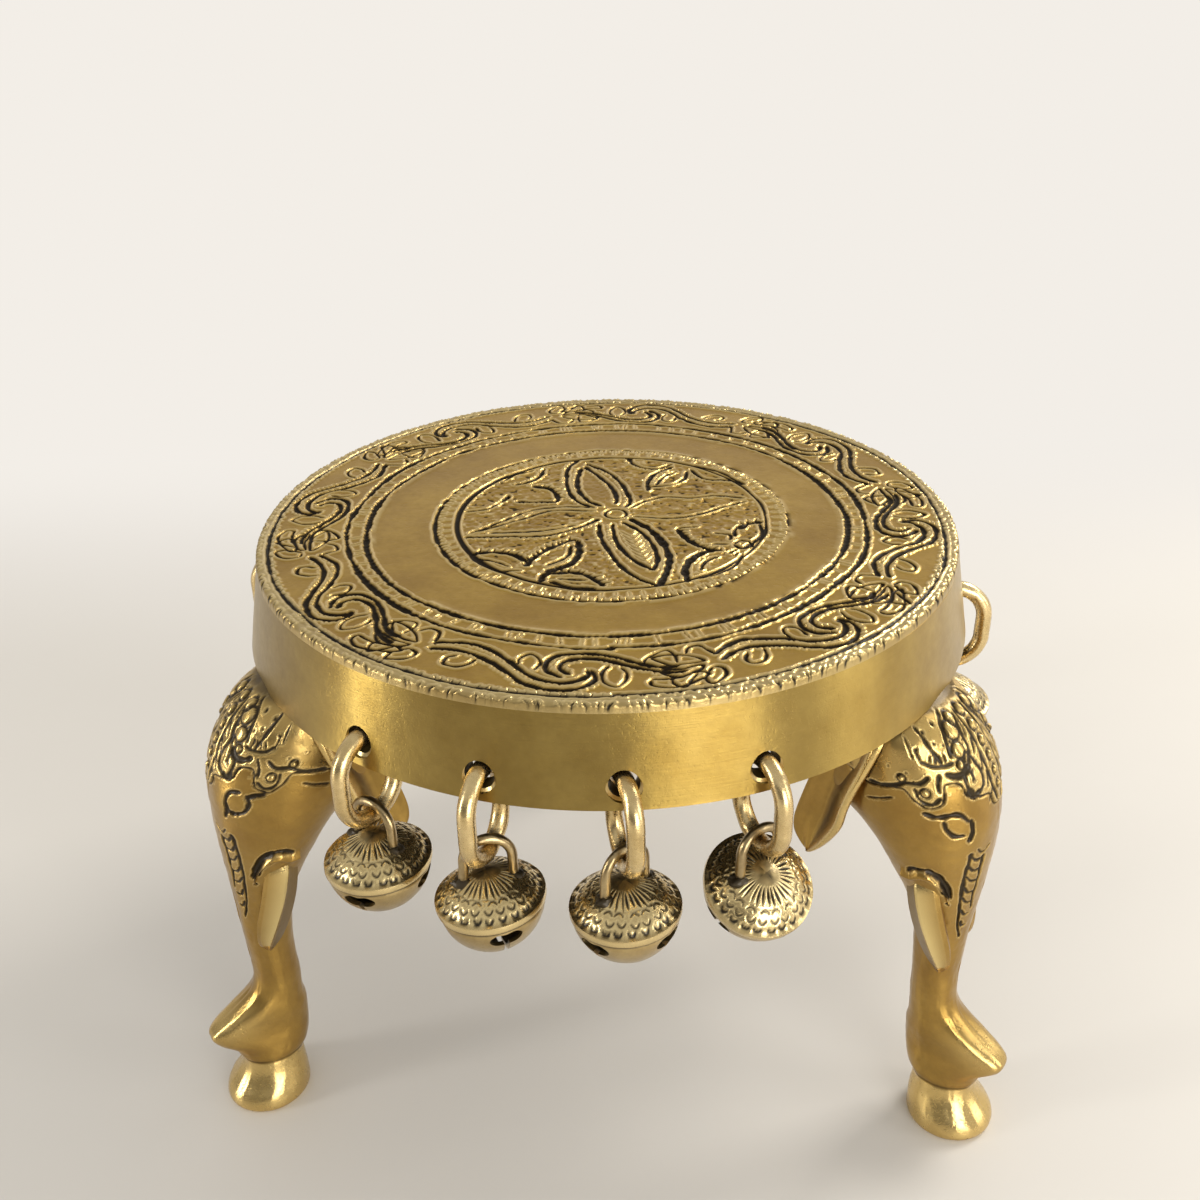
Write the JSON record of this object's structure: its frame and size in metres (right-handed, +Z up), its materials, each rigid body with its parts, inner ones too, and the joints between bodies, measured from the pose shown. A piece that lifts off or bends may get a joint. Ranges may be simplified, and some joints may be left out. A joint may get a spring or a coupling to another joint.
{
  "type": "low table",
  "caption": "Small round cast brass stool on elephant-head legs, with an engraved top and crotal bells on rings hung round its skirt.",
  "frame": {"origin": "on the floor under the centre of the round deck, at the centre of the circle through the three feet", "axes": "+Z up through the centre of the deck, -Y towards the viewer, +X to the viewer's right; the first leg stands 34.5 degrees from +X towards -Y"},
  "size_m": [0.2136, 0.225, 0.1515],
  "materials": {
    "deck": "satin, antique",
    "legs": "satin, antique",
    "screws": "dull",
    "rings": "polished, worn",
    "loops": "dull, dark solder at the feet",
    "bells": "polished, dark in the punch marks",
    "pellets": "dark"
  },
  "bodies": {
    "root": {"deck": "deck", "leg_1": "legs", "leg_2": "legs", "leg_3": "legs", "leg_screw_1": "screws", "leg_screw_2": "screws", "leg_screw_3": "screws"},
    "ring_01": {"ring_01": "rings"},
    "bell_01": {"bell_01": "bells", "bell_loop_01": "loops", "bell_pellet_01": "pellets"},
    "ring_02": {"ring_02": "rings"},
    "bell_02": {"bell_02": "bells", "bell_loop_02": "loops", "bell_pellet_02": "pellets"},
    "ring_03": {"ring_03": "rings"},
    "bell_03": {"bell_03": "bells", "bell_loop_03": "loops", "bell_pellet_03": "pellets"},
    "ring_04": {"ring_04": "rings"},
    "bell_04": {"bell_04": "bells", "bell_loop_04": "loops", "bell_pellet_04": "pellets"},
    "ring_05": {"ring_05": "rings"},
    "bell_05": {"bell_05": "bells", "bell_loop_05": "loops", "bell_pellet_05": "pellets"},
    "ring_06": {"ring_06": "rings"},
    "bell_06": {"bell_06": "bells", "bell_loop_06": "loops", "bell_pellet_06": "pellets"},
    "ring_07": {"ring_07": "rings"},
    "bell_07": {"bell_07": "bells", "bell_loop_07": "loops", "bell_pellet_07": "pellets"},
    "ring_08": {"ring_08": "rings"},
    "bell_08": {"bell_08": "bells", "bell_loop_08": "loops", "bell_pellet_08": "pellets"},
    "ring_09": {"ring_09": "rings"},
    "bell_09": {"bell_09": "bells", "bell_loop_09": "loops", "bell_pellet_09": "pellets"},
    "ring_10": {"ring_10": "rings"},
    "bell_10": {"bell_10": "bells", "bell_loop_10": "loops", "bell_pellet_10": "pellets"},
    "ring_11": {"ring_11": "rings"},
    "bell_11": {"bell_11": "bells", "bell_loop_11": "loops", "bell_pellet_11": "pellets"},
    "ring_12": {"ring_12": "rings"},
    "bell_12": {"bell_12": "bells", "bell_loop_12": "loops", "bell_pellet_12": "pellets"}
  },
  "joints": [
    {"name": "ring_01_sway", "type": "hinge", "parent": "root", "child": "ring_01", "pos_m": [-0.05451, -0.07221, 0.13305], "axis": [-0.6025, -0.7981, 0], "range_deg": [-9, 9]},
    {"name": "bell_01_swing", "type": "hinge", "parent": "ring_01", "child": "bell_01", "pos_m": [-0.05451, -0.07221, 0.12095], "axis": [0.7981, -0.6025, 0], "range_deg": [-40, 25]},
    {"name": "ring_02_sway", "type": "hinge", "parent": "root", "child": "ring_02", "pos_m": [-0.02788, -0.08607, 0.13305], "axis": [-0.3082, -0.9513, 0], "range_deg": [-9, 9]},
    {"name": "bell_02_swing", "type": "hinge", "parent": "ring_02", "child": "bell_02", "pos_m": [-0.02788, -0.08607, 0.12095], "axis": [0.9275, -0.3738, 0], "range_deg": [-40, 25]},
    {"name": "ring_03_sway", "type": "hinge", "parent": "root", "child": "ring_03", "pos_m": [0.00182, -0.09046, 0.13305], "axis": [0.0201, -0.9998, 0], "range_deg": [-9, 9]},
    {"name": "bell_03_swing", "type": "hinge", "parent": "ring_03", "child": "bell_03", "pos_m": [0.00182, -0.09046, 0.12095], "axis": [0.9652, 0.2613, 0], "range_deg": [-40, 25]},
    {"name": "ring_04_sway", "type": "hinge", "parent": "root", "child": "ring_04", "pos_m": [0.03132, -0.08489, 0.13305], "axis": [0.3461, -0.9382, 0], "range_deg": [-9, 9]},
    {"name": "bell_04_swing", "type": "hinge", "parent": "ring_04", "child": "bell_04", "pos_m": [0.03132, -0.08489, 0.12095], "axis": [0.8969, 0.4423, 0], "range_deg": [-40, 25]},
    {"name": "ring_05_sway", "type": "hinge", "parent": "root", "child": "ring_05", "pos_m": [0.08979, -0.01111, 0.13305], "axis": [0.9924, -0.1227, 0], "range_deg": [-9, 9]},
    {"name": "bell_05_swing", "type": "hinge", "parent": "ring_05", "child": "bell_05", "pos_m": [0.08979, -0.01111, 0.12095], "axis": [0.1227, 0.9924, 0], "range_deg": [-40, 25]},
    {"name": "ring_06_sway", "type": "hinge", "parent": "root", "child": "ring_06", "pos_m": [0.08848, 0.01889, 0.13305], "axis": [0.978, 0.2088, 0], "range_deg": [-9, 9]},
    {"name": "bell_06_swing", "type": "hinge", "parent": "ring_06", "child": "bell_06", "pos_m": [0.08848, 0.01889, 0.12095], "axis": [-0.14, 0.9901, 0], "range_deg": [-40, 25]},
    {"name": "ring_07_sway", "type": "hinge", "parent": "root", "child": "ring_07", "pos_m": [0.07743, 0.0468, 0.13305], "axis": [0.8558, 0.5173, 0], "range_deg": [-9, 9]},
    {"name": "bell_07_swing", "type": "hinge", "parent": "ring_07", "child": "bell_07", "pos_m": [0.07743, 0.0468, 0.12095], "axis": [-0.709, 0.7053, 0], "range_deg": [-40, 25]},
    {"name": "ring_08_sway", "type": "hinge", "parent": "root", "child": "ring_08", "pos_m": [0.05786, 0.06956, 0.13305], "axis": [0.6394, 0.7688, 0], "range_deg": [-9, 9]},
    {"name": "bell_08_swing", "type": "hinge", "parent": "ring_08", "child": "bell_08", "pos_m": [0.05786, 0.06956, 0.12095], "axis": [-0.8315, 0.5556, 0], "range_deg": [-40, 25]},
    {"name": "ring_09_sway", "type": "hinge", "parent": "root", "child": "ring_09", "pos_m": [-0.03528, 0.08332, 0.13305], "axis": [-0.3899, 0.9208, 0], "range_deg": [-9, 9]},
    {"name": "bell_09_swing", "type": "hinge", "parent": "ring_09", "child": "bell_09", "pos_m": [-0.03528, 0.08332, 0.12095], "axis": [-0.9208, -0.3899, 0], "range_deg": [-40, 25]},
    {"name": "ring_10_sway", "type": "hinge", "parent": "root", "child": "ring_10", "pos_m": [-0.0606, 0.06719, 0.13305], "axis": [-0.6698, 0.7426, 0], "range_deg": [-9, 9]},
    {"name": "bell_10_swing", "type": "hinge", "parent": "ring_10", "child": "bell_10", "pos_m": [-0.0606, 0.06719, 0.12095], "axis": [-0.7875, -0.6163, 0], "range_deg": [-40, 25]},
    {"name": "ring_11_sway", "type": "hinge", "parent": "root", "child": "ring_11", "pos_m": [-0.07925, 0.04366, 0.13305], "axis": [-0.8759, 0.4825, 0], "range_deg": [-9, 9]},
    {"name": "bell_11_swing", "type": "hinge", "parent": "ring_11", "child": "bell_11", "pos_m": [-0.07925, 0.04366, 0.12095], "axis": [-0.2563, -0.9666, 0], "range_deg": [-40, 25]},
    {"name": "ring_12_sway", "type": "hinge", "parent": "root", "child": "ring_12", "pos_m": [-0.08917, 0.01532, 0.13305], "axis": [-0.9856, 0.1693, 0], "range_deg": [-9, 9]},
    {"name": "bell_12_swing", "type": "hinge", "parent": "ring_12", "child": "bell_12", "pos_m": [-0.08917, 0.01532, 0.12095], "axis": [-0.0654, -0.9979, 0], "range_deg": [-40, 25]}
  ]
}
